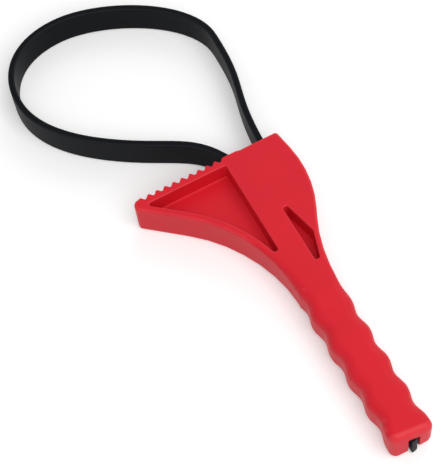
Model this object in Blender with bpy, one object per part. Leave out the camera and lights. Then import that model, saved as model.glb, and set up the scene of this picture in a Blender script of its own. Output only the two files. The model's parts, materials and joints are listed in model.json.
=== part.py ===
"""Strap-type oil filter wrench: a moulded handle, a reinforced rubber strap and its steel anchor pin.

Metres, +Z up. The tool lies on its rear face. +Y runs up the handle from the end of the grip to the
head, the toothed jaw reaches out towards -X, and the strap stands on edge and makes a loop above the
head. Everything is laid out from the middle of the grip's end, and the whole tool is then set with its
origin under the middle of its outline.
"""

import math

import bmesh
import bpy
from mathutils import Vector
from mathutils.geometry import delaunay_2d_cdt

OBJECT_NAME = "oil_filter_wrench"

# Handle as a whole
HANDLE_LENGTH = 0.2228
HANDLE_THICKNESS = 0.025

# Grip with its finger waves
GRIP_WIDTH = 0.0256  # between the middles of the waves on its two sides
WAVE_PITCH = 0.0221
WAVE_HEIGHT = 0.0021  # from trough to crest
FIRST_TROUGH = 0.0188  # above the end of the grip
LEFT_TROUGHS = 5
RIGHT_TROUGHS = 4
GRIP_END_CORNER = 0.0048
GRIP_EDGE_ROUND = 0.007
END_SKEW = 0.0018  # front right corner of the grip's end stands out by this, and the left one back

# Head and neck
HEAD_RIGHT = 0.0304  # from the grip's middle line to the head's top right corner
SHOULDER_REACH = 0.0365  # to the corner that the right shoulder rounds off
SHOULDER_DROP = 0.039  # from the head's top down to that corner
SHOULDER_RADIUS = 0.080
NECK_LEAN = math.radians(25.6)  # right side of the neck against the handle's length
RIGHT_NECK_RADIUS = 0.105
JAW_REACH = 0.073  # from the grip's middle line to the jaw's tip
JAW_TIP_HEIGHT = 0.0064
JAW_SLOPE = math.radians(41.0)  # underside of the jaw against the head's top
LEFT_NECK_RADIUS = 0.105
HEAD_CORNER = 0.0022
JAW_TIP_ROUND = 0.0042
JAW_HEEL_ROUND = 0.0022
HEAD_EDGE_ROUND = 0.0018

# Teeth
TOOTH_COUNT = 10
TOOTH_PITCH = 0.0059
TOOTH_DEPTH = 0.0024
TOOTH_LAND = 0.0006  # between the mouth and the first valley
TOOTH_EDGE_ROUND = 0.0004
MOUTH_LAND = 0.006  # past the middle of the mouth, before the head's larger edge round starts

# Pockets
POCKET_TOP_BAR = 0.0061  # between the pocket and the head's top
POCKET_LEFT_WALL = 0.0045
POCKET_RIGHT = 0.0093  # from the grip's middle line to the pocket's straight right edge
POCKET_TOE_DROP = 0.0766  # from the head's top to the pocket's lower end
POCKET_CORNER = 0.0013
POCKET_DEPTH = 0.013
WEB_THICKNESS = 0.003  # floor between the front and the rear pockets
SMALL_POCKET_LEFT = 0.0069
SMALL_POCKET_KINK = 0.0157
SMALL_POCKET_END_WIDTH = 0.0032
SMALL_POCKET_TOP_DROP = 0.0516
SMALL_POCKET_KINK_DROP = 0.0751
SMALL_POCKET_TOE_DROP = 0.094

# Strap
STRAP_THICKNESS = 0.0043
STRAP_WIDTH = 0.0220
STRAP_EDGE_CHAMFER = 0.0005
LEADER_WIDTH = 0.0161  # of the strap's narrower free end
LEADER_MIDDLE = 0.0006  # sideways place of the straight run in the grip
STRAIGHT_RUN = 0.002  # of the entry bend, before the leader takes over
TAPER_START = 0.004  # below the top of the leader
TAPER_LENGTH = 0.012  # over which the strap narrows
STRAP_TRAVEL = 0.085  # that the strap can be pulled through
TAIL_LENGTH = 0.0009  # sticks out of the grip's end
TAIL_SLANT = 0.0010  # one side of the cut end is longer

# Strap's loop: exits from the head, and the places where it turns furthest out
FIXED_EXIT = 0.0191
FIXED_HEADING = math.radians(86.8)
MOUTH = -0.0049
MOUTH_HEADING = math.radians(-64.0)
LOOP_RIGHT = (0.0312, 0.0900)  # sideways, and above the head's top
LOOP_TOP = (-0.0550, 0.1546)
LOOP_LEFT = (-0.1035, 0.1088)
LOOP_LOWER_SIDE = (-0.0440, 0.0357)
LOOP_LOWER_HEADING = math.radians(-31.4)
LOOP_TENSIONS = (0.526, 0.302, 0.431, 0.334, 0.42)  # handle length of each stretch, as a share of its chord
CROWN_HEIGHT = 0.112  # above the head's top; the loop further out than this is the crown

# Entry from the mouth into the channel
ENTRY_DROP = 0.030  # from the head's top to where the strap runs straight down
ENTRY_TENSION = 0.36

# Anchor in the head
PIN_RADIUS = 0.0025
PIN_INSET = 0.0008  # each end of the pin inside the strap's edges
ANCHOR_DEPTH = 0.018  # pin below the head's top, along the strap

# Channel in the handle
CHANNEL_ROOM = 0.00155  # on each side of the strap

# Fits
STRAP_CLEARANCE = 0.0004  # strap to the walls it runs past, and above the surface it lies on
PIN_CLEARANCE = 0.0003
NODE_GAP = 0.0003  # between neighbouring lengths of strap
CUT_MARGIN = 0.006  # cutters reach this far past the surface that they open

# Fineness
ARC_STEP = math.radians(8.0)
WAVE_STEPS = 10
TOOTH_STEPS = 8
BEND_STEPS = 18
ROUND_STEPS = 32
SNAP = 1e-6
CAP_INSIDE = 1  # the fill keeps only what lies inside the outline
EDGE_STEPS = 4
HANDLE_SOLVER = "MANIFOLD"  # at some handle lengths the exact solver loses a pocket's wall

# Sizes that follow from the ones above
GRIP_HALF = GRIP_WIDTH / 2
WAVE_RISE = WAVE_HEIGHT / 2
TOP = HANDLE_LENGTH
STRAP_LOW = STRAP_CLEARANCE
STRAP_HIGH = STRAP_LOW + STRAP_WIDTH
LEADER_HIGH = STRAP_LOW + LEADER_WIDTH
GRIP_END_ROUND = GRIP_END_CORNER * 0.96  # edge round across the end of the grip
LEADER_TOP = TOP - ENTRY_DROP - STRAIGHT_RUN
MOUTH_HALF = (STRAP_THICKNESS / 2 + STRAP_CLEARANCE) / abs(math.sin(MOUTH_HEADING))
TEETH_END = MOUTH_HALF - MOUTH + TOOTH_LAND  # from the grip's middle line out to the row of teeth
EYE_RADIUS = PIN_RADIUS + PIN_CLEARANCE + STRAP_THICKNESS
REAR_POCKET_DEPTH = HANDLE_THICKNESS - POCKET_DEPTH - WEB_THICKNESS
LEADER_HEIGHTS = (LEADER_HIGH, LEADER_HIGH, STRAP_HIGH, STRAP_HIGH)  # from its tail to its top


def clear_scene():
    for item in list(bpy.data.objects):
        bpy.data.objects.remove(item, do_unlink=True)


def new_collection(name):
    collection = bpy.data.collections.new(name)
    bpy.context.scene.collection.children.link(collection)
    return collection


def plain_material(name, colour, roughness, metallic):
    material = bpy.data.materials.new(name)
    material.use_nodes = True
    shader = material.node_tree.nodes["Principled BSDF"]
    shader.inputs["Base Color"].default_value = (*colour, 1.0)
    shader.inputs["Roughness"].default_value = roughness
    shader.inputs["Metallic"].default_value = metallic
    return material


def mesh_object(name, shape, collection, material=None):
    mesh = bpy.data.meshes.new(name)
    shape.to_mesh(mesh)
    shape.free()
    item = bpy.data.objects.new(name, mesh)
    collection.objects.link(item)
    if material:
        mesh.materials.append(material)
    return item


def heading_vector(angle):
    return Vector((math.cos(angle), math.sin(angle)))


def corner_arc(before, corner, after, radius):
    """Points of the arc that rounds a corner between two straight runs."""
    into = (corner - before).normalized()
    out = (after - corner).normalized()
    turn = math.atan2(into.x * out.y - into.y * out.x, into.dot(out))
    reach = radius * math.tan(abs(turn) / 2)
    side = math.copysign(1.0, turn)
    start = corner - into * reach
    centre = start + Vector((-into.y, into.x)) * radius * side
    steps = max(2, math.ceil(abs(turn) / ARC_STEP))
    spoke = start - centre
    points = []
    for step in range(steps + 1):
        angle = turn * step / steps
        c, s = math.cos(angle), math.sin(angle)
        points.append(centre + Vector((spoke.x * c - spoke.y * s, spoke.x * s + spoke.y * c)))
    return points


def rounded_polygon(corners):
    """Closed outline through (point, radius) corners, each rounded by its radius."""
    points = []
    count = len(corners)
    for index, (corner, radius) in enumerate(corners):
        before = corners[index - 1][0]
        after = corners[(index + 1) % count][0]
        points += corner_arc(before, corner, after, radius)
    return points


def bezier(start, start_heading, end, end_heading, tension, steps=BEND_STEPS):
    """Smooth stretch that leaves its start and reaches its end along the given headings."""
    handle = (end - start).length * tension
    first = start + heading_vector(start_heading) * handle
    second = end - heading_vector(end_heading) * handle
    points = []
    for step in range(steps + 1):
        t = step / steps
        u = 1 - t
        points.append(start * u**3 + first * 3 * u * u * t + second * 3 * u * t * t + end * t**3)
    return points


def fade(value, low, high):
    """Smooth step from 0 at low to 1 at high."""
    t = min(1.0, max(0.0, (value - low) / (high - low)))
    return t * t * (3 - 2 * t)


# Handle outline


def wave_side(troughs, top):
    """Height and half width up one side of the grip, from its end to the neck."""
    last_crest = FIRST_TROUGH + (troughs - 0.5) * WAVE_PITCH
    first_crest = FIRST_TROUGH - WAVE_PITCH / 2
    step = WAVE_PITCH / WAVE_STEPS
    heights = [max(first_crest, GRIP_END_CORNER + step / 2)]
    while heights[-1] + 1.5 * step < top:
        heights.append(heights[-1] + step)
    side = []
    for height in heights:
        swing = -math.cos(math.tau * (height - FIRST_TROUGH) / WAVE_PITCH)
        if height > last_crest:
            swing = 1.0 - fade(height, last_crest, last_crest + WAVE_PITCH / 2)
        side.append((height, GRIP_HALF + WAVE_RISE * swing))
    return side


def tooth_row():
    """Teeth from the mouth out to the jaw's tip: one smooth valley after another."""
    points = []
    for tooth in range(TOOTH_COUNT):
        for step in range(TOOTH_STEPS):
            share = step / TOOTH_STEPS
            x = -TEETH_END - (tooth + share) * TOOTH_PITCH
            sink = TOOTH_DEPTH * (1 - math.cos(math.tau * share)) / 2
            points.append(Vector((x, TOP - sink)))
    points.append(Vector((-TEETH_END - TOOTH_COUNT * TOOTH_PITCH, TOP)))
    return points


def neck_corners():
    """Corners that the neck and jaw arcs round off."""
    shoulder = Vector((SHOULDER_REACH, TOP - SHOULDER_DROP))
    right_neck = Vector((GRIP_HALF, shoulder.y - (SHOULDER_REACH - GRIP_HALF) / math.tan(NECK_LEAN)))
    heel = Vector((-JAW_REACH, TOP - JAW_TIP_HEIGHT))
    left_neck = Vector((-GRIP_HALF, heel.y - (JAW_REACH - GRIP_HALF) * math.tan(JAW_SLOPE)))
    return shoulder, right_neck, heel, left_neck


def handle_outline():
    """Plan of the handle, anticlockwise from the grip's right end corner."""
    shoulder, right_neck, heel, left_neck = neck_corners()
    head_corner = Vector((HEAD_RIGHT, TOP))
    tip = Vector((-JAW_REACH, TOP))
    end_half = GRIP_HALF + WAVE_RISE
    right_end = Vector((end_half, 0.0))
    left_end = Vector((-end_half, 0.0))

    right_bend = corner_arc(Vector((GRIP_HALF, 0.0)), right_neck, shoulder, RIGHT_NECK_RADIUS)
    left_bend = corner_arc(heel, left_neck, Vector((-GRIP_HALF, 0.0)), LEFT_NECK_RADIUS)
    points = corner_arc(left_end, right_end, Vector((end_half, TOP)), GRIP_END_CORNER)
    points += [Vector((half, height)) for height, half in wave_side(RIGHT_TROUGHS, right_bend[0].y)]
    points += right_bend
    points += corner_arc(right_neck, shoulder, head_corner, SHOULDER_RADIUS)
    points += corner_arc(shoulder, head_corner, tip, HEAD_CORNER)
    points += [Vector((MOUTH + 1.5 * MOUTH_LAND, TOP)), Vector((MOUTH + MOUTH_LAND, TOP))]
    points += tooth_row()
    points += corner_arc(head_corner, tip, heel, JAW_TIP_ROUND)
    points += corner_arc(tip, heel, left_neck, JAW_HEEL_ROUND)
    points += left_bend
    left_waves = wave_side(LEFT_TROUGHS, left_bend[-1].y)
    points += [Vector((-half, height)) for height, half in reversed(left_waves)]
    points += corner_arc(Vector((-end_half, TOP)), left_end, right_end, GRIP_END_CORNER)
    return points


def edge_round(place):
    """Radius of the handle's front and rear edges at a place on its outline."""
    in_teeth = -TEETH_END - TOOTH_COUNT * TOOTH_PITCH - SNAP < place.x < MOUTH + MOUTH_LAND + SNAP
    if in_teeth and place.y > TOP - TOOTH_DEPTH - HEAD_EDGE_ROUND:
        return TOOTH_EDGE_ROUND
    grip_share = fade(place.y, GRIP_END_CORNER, FIRST_TROUGH)
    grip = GRIP_END_ROUND + (GRIP_EDGE_ROUND - GRIP_END_ROUND) * grip_share
    last_crest = FIRST_TROUGH + (RIGHT_TROUGHS - 0.5) * WAVE_PITCH
    head_start = TOP - (SMALL_POCKET_TOE_DROP if place.x > 0 else SMALL_POCKET_TOP_DROP)
    head_share = fade(place.y, last_crest, head_start)
    return grip + (HEAD_EDGE_ROUND - grip) * head_share


def inward_steps(outline):
    """Step at each point of a closed anticlockwise outline that moves its sides in by one unit."""
    steps = []
    count = len(outline)
    for index, point in enumerate(outline):
        into = (point - outline[index - 1]).normalized()
        out = (outline[(index + 1) % count] - point).normalized()
        along = (into + out).normalized()
        steps.append(Vector((-along.y, along.x)) / max(0.5, along.dot(into)))
    return steps


def fill_ring(shape, ring):
    """Flat cap inside a ring of vertices, which may have hollows in its outline."""
    count = len(ring)
    sides = [(index, (index + 1) % count) for index in range(count)]
    filled = delaunay_2d_cdt([vert.co.xy for vert in ring], sides, [], CAP_INSIDE, 0.0)
    triangles, sources = filled[2], filled[3]
    for triangle in triangles:
        shape.faces.new([ring[sources[corner][0]] for corner in triangle])


def rounded_slab(outline, thickness):
    """Slab over an outline, with front and rear edges rounded by a radius that changes along it."""
    shape = bmesh.new()
    steps = inward_steps(outline)
    rounds = [edge_round(point) for point in outline]
    rings = []
    for turn in [*range(EDGE_STEPS + 1), *range(EDGE_STEPS, -1, -1)]:
        angle = math.radians(90.0) * turn / EDGE_STEPS
        inset, lift = 1 - math.sin(angle), 1 - math.cos(angle)
        on_front = len(rings) > EDGE_STEPS
        ring = []
        for point, step, radius in zip(outline, steps, rounds):
            height = thickness - lift * radius if on_front else lift * radius
            ring.append(shape.verts.new((*(point + step * inset * radius), height)))
        rings.append(ring)
    for ring, following in zip(rings, rings[1:]):
        for index in range(len(ring)):
            shape.faces.new((ring[index - 1], ring[index], following[index], following[index - 1]))
    fill_ring(shape, rings[0])
    fill_ring(shape, rings[-1])
    bmesh.ops.recalc_face_normals(shape, faces=shape.faces)
    return shape


def prism(outline, low, high):
    """Flat outline raised from one height to another."""
    shape = bmesh.new()
    face = shape.faces.new([shape.verts.new((point.x, point.y, low)) for point in outline])
    raised = bmesh.ops.extrude_face_region(shape, geom=[face])["geom"]
    lifted = [item for item in raised if isinstance(item, bmesh.types.BMVert)]
    bmesh.ops.translate(shape, verts=lifted, vec=(0.0, 0.0, high - low))
    bmesh.ops.recalc_face_normals(shape, faces=shape.faces)
    return shape


def disc(centre, radius, low, high):
    """Round bar standing on end."""
    shape = bmesh.new()
    bmesh.ops.create_cone(
        shape, cap_ends=True, segments=ROUND_STEPS, radius1=radius, radius2=radius, depth=high - low
    )
    bmesh.ops.translate(shape, verts=shape.verts, vec=(centre.x, centre.y, (low + high) / 2))
    return shape


def ribbon(path, low, highs, thickness, chamfer):
    """Strap of rectangular section along a plan path, standing on edge up to a height at each point."""
    shape = bmesh.new()
    half = thickness / 2
    rings = []
    for index, (point, high) in enumerate(zip(path, highs)):
        section = [
            (-half, low + chamfer),
            (-half + chamfer, low),
            (half - chamfer, low),
            (half, low + chamfer),
            (half, high - chamfer),
            (half - chamfer, high),
            (-half + chamfer, high),
            (-half, high - chamfer),
        ]
        if not chamfer:
            section = section[::2]
        before = path[max(0, index - 1)]
        after = path[min(len(path) - 1, index + 1)]
        along = (after - before).normalized()
        across = Vector((-along.y, along.x))
        rings.append([shape.verts.new((*(point + across * side), height)) for side, height in section])
    for ring, following in zip(rings, rings[1:]):
        for side in range(len(ring)):
            after = (side + 1) % len(ring)
            shape.faces.new((ring[side], ring[after], following[after], following[side]))
    shape.faces.new(rings[0])
    shape.faces.new(list(reversed(rings[-1])))
    bmesh.ops.recalc_face_normals(shape, faces=shape.faces)
    return shape


# Strap paths


def loop_path():
    """Middle line of the loop, from the fixed exit round to the mouth."""
    above = Vector((0.0, TOP))
    stops = [
        (Vector((FIXED_EXIT, TOP)), FIXED_HEADING),
        (above + Vector(LOOP_RIGHT), math.radians(90.0)),
        (above + Vector(LOOP_TOP), math.radians(180.0)),
        (above + Vector(LOOP_LEFT), math.radians(270.0)),
        (above + Vector(LOOP_LOWER_SIDE), LOOP_LOWER_HEADING),
        (Vector((MOUTH, TOP)), MOUTH_HEADING),
    ]
    points = [stops[0][0]]
    for (start, leave), (end, arrive), tension in zip(stops, stops[1:], LOOP_TENSIONS):
        points += bezier(start, leave, end, arrive, tension)[1:]
    return points


def entry_path():
    """Middle line from the mouth to the top of the leader."""
    straight = Vector((LEADER_MIDDLE, TOP - ENTRY_DROP))
    points = bezier(Vector((MOUTH, TOP)), MOUTH_HEADING, straight, math.radians(-90.0), ENTRY_TENSION)
    points.append(Vector((LEADER_MIDDLE, LEADER_TOP)))
    return points


def path_lengths(path):
    lengths = [0.0]
    for start, end in zip(path, path[1:]):
        lengths.append(lengths[-1] + (end - start).length)
    return lengths


def cut_path(path, start, end):
    """Stretch of a path between two distances along it."""
    lengths = path_lengths(path)
    points = []
    for index in range(len(path) - 1):
        a, b = lengths[index], lengths[index + 1]
        for distance in (start, end):
            if a < distance <= b:
                points.append((distance, path[index].lerp(path[index + 1], (distance - a) / (b - a))))
        if start < b < end:
            points.append((b, path[index + 1]))
    if start <= 0.0:
        points.append((0.0, path[0]))
    points.sort(key=lambda item: item[0])
    return [point for _, point in points]


def height_crossings(path, height):
    """Distances along a path at which it passes a height in plan."""
    lengths = path_lengths(path)
    found = []
    for index in range(len(path) - 1):
        a, b = path[index].y - height, path[index + 1].y - height
        if a * b < 0:
            found.append(lengths[index] + (lengths[index + 1] - lengths[index]) * a / (a - b))
    return found


# Pieces


def cut(item, tool, solver="EXACT"):
    tool.hide_render = True
    tool.display_type = "WIRE"
    modifier = item.modifiers.new(tool.name, "BOOLEAN")
    modifier.operation = "DIFFERENCE"
    modifier.solver = solver
    modifier.object = tool


def large_pocket_outline():
    """Triangle under the teeth that follows the jaw's underside at an even wall."""
    _, _, heel, left_neck = neck_corners()
    tangent = LEFT_NECK_RADIUS * math.tan(math.radians(90.0) / 2 - JAW_SLOPE / 2)
    centre = Vector((-GRIP_HALF - LEFT_NECK_RADIUS, left_neck.y - tangent))
    radius = LEFT_NECK_RADIUS + POCKET_LEFT_WALL
    slope = heading_vector(-JAW_SLOPE)
    inward = Vector((-slope.y, slope.x))
    top = TOP - POCKET_TOP_BAR
    toe = TOP - POCKET_TOE_DROP
    line_start = heel + inward * POCKET_LEFT_WALL
    left_corner = line_start + slope * ((line_start.y - top) / math.sin(JAW_SLOPE))
    toe_angle = math.asin((toe - centre.y) / radius)
    bend_angle = math.radians(90.0) - JAW_SLOPE
    toe_left = centre + heading_vector(toe_angle) * radius
    bend_start = centre + heading_vector(bend_angle) * radius
    toe_right = Vector((-POCKET_RIGHT, toe))
    top_right = Vector((-POCKET_RIGHT, top))
    steps = max(2, math.ceil((bend_angle - toe_angle) / ARC_STEP) * 2)
    side = [
        centre + heading_vector(bend_angle + (toe_angle - bend_angle) * step / steps) * radius
        for step in range(steps)
    ]
    toe_round = (toe_right.x - toe_left.x) * 0.45
    points = corner_arc(top_right, left_corner, bend_start, POCKET_CORNER)
    points += side
    points += corner_arc(side[-1], toe_left, toe_right, toe_round)
    points += corner_arc(toe_left, toe_right, top_right, toe_round)
    points += corner_arc(toe_right, top_right, left_corner, POCKET_CORNER)
    return points


def small_pocket_outline():
    """Slim triangle between the middle band and the neck's right side."""
    left = SMALL_POCKET_LEFT
    right = left + SMALL_POCKET_END_WIDTH
    top = TOP - SMALL_POCKET_TOP_DROP
    kink = TOP - SMALL_POCKET_KINK_DROP
    toe = TOP - SMALL_POCKET_TOE_DROP
    corners = [
        (Vector((left, toe)), POCKET_CORNER),
        (Vector((right, toe)), POCKET_CORNER),
        (Vector((SMALL_POCKET_KINK, kink)), POCKET_CORNER),
        (Vector((right, top)), POCKET_CORNER),
        (Vector((left, top)), POCKET_CORNER),
    ]
    return rounded_polygon(corners)


def cut_pockets(handle, cutters):
    """Pockets in the front face, and shallower ones behind the web."""
    front_floor = HANDLE_THICKNESS - POCKET_DEPTH
    front_end = HANDLE_THICKNESS + CUT_MARGIN
    for name, outline in (("large", large_pocket_outline()), ("small", small_pocket_outline())):
        front = mesh_object(f"{name}_front_pocket", prism(outline, front_floor, front_end), cutters)
        rear = mesh_object(f"{name}_rear_pocket", prism(outline, -CUT_MARGIN, REAR_POCKET_DEPTH), cutters)
        cut(handle, front, HANDLE_SOLVER)
        cut(handle, rear, HANDLE_SOLVER)


def pin_centre():
    return Vector((FIXED_EXIT, TOP)) - heading_vector(FIXED_HEADING) * ANCHOR_DEPTH


def anchor_outline(growth, exit_step):
    """Plan of the strap's eye and its neck up to the head's top, grown all round for their hole."""
    along = heading_vector(FIXED_HEADING)
    half = STRAP_THICKNESS / 2 + growth
    radius = EYE_RADIUS + growth
    across = Vector((-along.y, along.x)) * half
    exit_point = Vector((FIXED_EXIT, TOP)) + along * exit_step
    joining = math.asin(half / radius)
    sweep = math.tau - 2 * joining
    eye = [
        pin_centre() + heading_vector(FIXED_HEADING + joining + sweep * step / ROUND_STEPS) * radius
        for step in range(ROUND_STEPS + 1)
    ]
    return [exit_point - across, exit_point + across] + eye


def cut_keyhole(handle, cutters):
    """Slot and round seat that hold the strap's fixed end, open at the rear."""
    outline = anchor_outline(STRAP_CLEARANCE, CUT_MARGIN)
    keyhole = prism(outline, -CUT_MARGIN, STRAP_HIGH + STRAP_CLEARANCE)
    cut(handle, mesh_object("keyhole_cut", keyhole, cutters), HANDLE_SOLVER)


def cut_channel(handle, cutters):
    """Way of the strap through the handle: bent entry at the mouth, then straight out of the grip's end."""
    entry = entry_path()
    way = [entry[0] - heading_vector(MOUTH_HEADING) * CUT_MARGIN] + entry
    ceiling = STRAP_HIGH + STRAP_CLEARANCE
    bend = ribbon(way, -CUT_MARGIN, [ceiling] * len(way), STRAP_THICKNESS + 2 * STRAP_CLEARANCE, 0.0)
    cut(handle, mesh_object("entry_bend_cut", bend, cutters), HANDLE_SOLVER)

    taper = leader_stops()
    deepest = taper[1].y - STRAP_TRAVEL - 2 * STRAP_CLEARANCE
    way = [
        Vector((LEADER_MIDDLE, -CUT_MARGIN)),
        Vector((LEADER_MIDDLE, deepest)),
        Vector((LEADER_MIDDLE, deepest + TAPER_LENGTH)),
        Vector((LEADER_MIDDLE, LEADER_TOP + CUT_MARGIN)),
    ]
    ceilings = [high + 2 * STRAP_CLEARANCE for high in LEADER_HEIGHTS]
    channel = ribbon(way, -CUT_MARGIN, ceilings, STRAP_THICKNESS + 2 * CHANNEL_ROOM, 0.0)
    cut(handle, mesh_object("channel_cut", channel, cutters), HANDLE_SOLVER)


def skew_end(shape):
    """Turn the front edge of the grip's end a little in plan, and leave its rear edge square."""
    for vert in shape.verts:
        share = 1 - fade(vert.co.y, 0.0, FIRST_TROUGH)
        turned = vert.co.x / GRIP_HALF * vert.co.z / HANDLE_THICKNESS
        vert.co.y -= END_SKEW * share * turned


def make_handle(parts, cutters, plastic):
    shape = rounded_slab(handle_outline(), HANDLE_THICKNESS)
    skew_end(shape)
    handle = mesh_object("handle", shape, parts, plastic)
    cut_pockets(handle, cutters)
    cut_keyhole(handle, cutters)
    cut_channel(handle, cutters)
    return handle


def make_anchor_pin(parts, steel):
    low, high = STRAP_LOW + PIN_INSET, STRAP_HIGH - PIN_INSET
    return mesh_object("strap_anchor_pin", disc(pin_centre(), PIN_RADIUS, low, high), parts, steel)


def make_fixed_end(parts, cutters, rubber):
    """Eye round the pin with a neck up to the head's top."""
    shape = prism(anchor_outline(0.0, -NODE_GAP / 2), STRAP_LOW, STRAP_HIGH)
    fixed_end = mesh_object("strap_fixed_end", shape, parts, rubber)
    bore = disc(pin_centre(), PIN_RADIUS + PIN_CLEARANCE, -CUT_MARGIN, STRAP_HIGH + CUT_MARGIN)
    cut(fixed_end, mesh_object("eye_bore", bore, cutters))
    return fixed_end


def make_loop(parts, rubber):
    """Right strand, crown and left strand, end to end."""
    path = loop_path()
    total = path_lengths(path)[-1]
    rise, fall = height_crossings(path, TOP + CROWN_HEIGHT)
    spans = [
        ("strap_right_strand", 0.0, rise),
        ("strap_crown", rise, fall),
        ("strap_left_strand", fall, total),
    ]
    for name, start, end in spans:
        stretch = cut_path(path, start + NODE_GAP / 2, end - NODE_GAP / 2)
        highs = [STRAP_HIGH] * len(stretch)
        shape = ribbon(stretch, STRAP_LOW, highs, STRAP_THICKNESS, STRAP_EDGE_CHAMFER)
        mesh_object(name, shape, parts, rubber)


def make_entry_bend(parts, rubber):
    path = entry_path()
    stretch = cut_path(path, NODE_GAP / 2, path_lengths(path)[-1] - NODE_GAP / 2)
    highs = [STRAP_HIGH] * len(stretch)
    shape = ribbon(stretch, STRAP_LOW, highs, STRAP_THICKNESS, STRAP_EDGE_CHAMFER)
    return mesh_object("strap_entry_bend", shape, parts, rubber)


def leader_stops():
    """Places along the leader: its tail, the taper's two ends and its top."""
    taper_top = LEADER_TOP - TAPER_START
    heights = (-TAIL_LENGTH, taper_top - TAPER_LENGTH, taper_top, LEADER_TOP - NODE_GAP / 2)
    return [Vector((LEADER_MIDDLE, height)) for height in heights]


def make_leader(parts, rubber):
    """Straight run in the grip that narrows from the top, with a slanted cut at its tail."""
    shape = ribbon(leader_stops(), STRAP_LOW, LEADER_HEIGHTS, STRAP_THICKNESS, STRAP_EDGE_CHAMFER)
    for vert in shape.verts:
        if vert.co.y < 0:
            vert.co.y += (vert.co.x - LEADER_MIDDLE) / STRAP_THICKNESS * TAIL_SLANT
    return mesh_object("strap_leader", shape, parts, rubber)


def set_origin_under_middle(parts):
    """Hang every piece on an empty that puts the origin under the middle of the tool's outline."""
    corners = []
    bpy.context.view_layer.update()
    for item in parts.objects:
        corners += [item.matrix_world @ vert.co for vert in item.data.vertices]
    middle_x = (min(c.x for c in corners) + max(c.x for c in corners)) / 2
    middle_y = (min(c.y for c in corners) + max(c.y for c in corners)) / 2
    frame = bpy.data.objects.new("tool_frame", None)
    parts.objects.link(frame)
    frame.location = (-middle_x, -middle_y, 0.0)
    return frame


def main():
    clear_scene()
    parts = new_collection(OBJECT_NAME)
    cutters = new_collection("cutters")
    plastic = plain_material("red_plastic", (0.70, 0.03, 0.05), 0.42, 0.0)
    rubber = plain_material("black_rubber", (0.018, 0.019, 0.021), 0.55, 0.0)
    steel = plain_material("pin_steel", (0.55, 0.55, 0.56), 0.35, 1.0)
    make_handle(parts, cutters, plastic)
    make_anchor_pin(parts, steel)
    make_fixed_end(parts, cutters, rubber)
    make_loop(parts, rubber)
    make_entry_bend(parts, rubber)
    make_leader(parts, rubber)
    frame = set_origin_under_middle(parts)
    for item in [*parts.objects, *cutters.objects]:
        if item is not frame:
            item.parent = frame


main()
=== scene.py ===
"""Finishes, belt and studio for a strap-type oil filter wrench, built round its packed model.

Metres, in the packed model's own frame: the tool lies on its rear face, +Y runs up the handle to
the head and on to the strap's loop, and +Z comes out of the front face.
"""

import json
import math

import bmesh
import bpy
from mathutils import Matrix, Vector
from mathutils.geometry import delaunay_2d_cdt

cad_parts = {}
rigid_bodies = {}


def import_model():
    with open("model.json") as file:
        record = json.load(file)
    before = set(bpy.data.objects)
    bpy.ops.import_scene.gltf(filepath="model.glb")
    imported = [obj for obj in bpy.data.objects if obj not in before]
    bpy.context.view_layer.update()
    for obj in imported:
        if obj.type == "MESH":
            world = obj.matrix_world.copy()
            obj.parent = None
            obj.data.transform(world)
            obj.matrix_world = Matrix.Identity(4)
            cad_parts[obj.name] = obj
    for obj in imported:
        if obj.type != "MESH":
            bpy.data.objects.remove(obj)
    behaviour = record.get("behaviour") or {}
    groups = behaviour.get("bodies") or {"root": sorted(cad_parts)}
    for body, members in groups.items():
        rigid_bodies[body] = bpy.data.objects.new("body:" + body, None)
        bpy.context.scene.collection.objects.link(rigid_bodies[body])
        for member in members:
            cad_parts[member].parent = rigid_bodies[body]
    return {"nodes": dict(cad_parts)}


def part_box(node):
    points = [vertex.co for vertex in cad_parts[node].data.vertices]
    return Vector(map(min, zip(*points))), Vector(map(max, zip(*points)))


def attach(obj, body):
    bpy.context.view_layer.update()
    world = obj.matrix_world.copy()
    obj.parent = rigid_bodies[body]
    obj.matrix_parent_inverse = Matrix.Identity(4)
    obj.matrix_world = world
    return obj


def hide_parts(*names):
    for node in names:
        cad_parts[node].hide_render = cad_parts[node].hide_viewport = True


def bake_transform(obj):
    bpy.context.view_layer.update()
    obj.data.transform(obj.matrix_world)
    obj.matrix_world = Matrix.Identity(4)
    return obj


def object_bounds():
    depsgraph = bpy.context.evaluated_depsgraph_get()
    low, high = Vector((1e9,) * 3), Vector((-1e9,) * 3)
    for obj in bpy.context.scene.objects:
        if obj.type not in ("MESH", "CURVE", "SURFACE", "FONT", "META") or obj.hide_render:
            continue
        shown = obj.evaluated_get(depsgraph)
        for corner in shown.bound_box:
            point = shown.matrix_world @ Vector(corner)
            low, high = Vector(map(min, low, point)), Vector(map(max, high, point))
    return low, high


bl_info = {
    "name": "Oil filter wrench",
    "version": (1, 0, 0),
    "blender": (4, 5, 0),
    "location": "3D View > Sidebar > Wrench",
    "description": "Moulded handle, rubber belt and studio round the packed oil filter wrench",
    "category": "Add Mesh",
}

for leftover in list(bpy.data.objects):
    bpy.data.objects.remove(leftover, do_unlink=True)
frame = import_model()
CAD_LOW, CAD_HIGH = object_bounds()
HANDLE_LOW, HANDLE_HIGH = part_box("handle")
BELT_LOW, BELT_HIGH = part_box("strap_crown")

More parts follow.
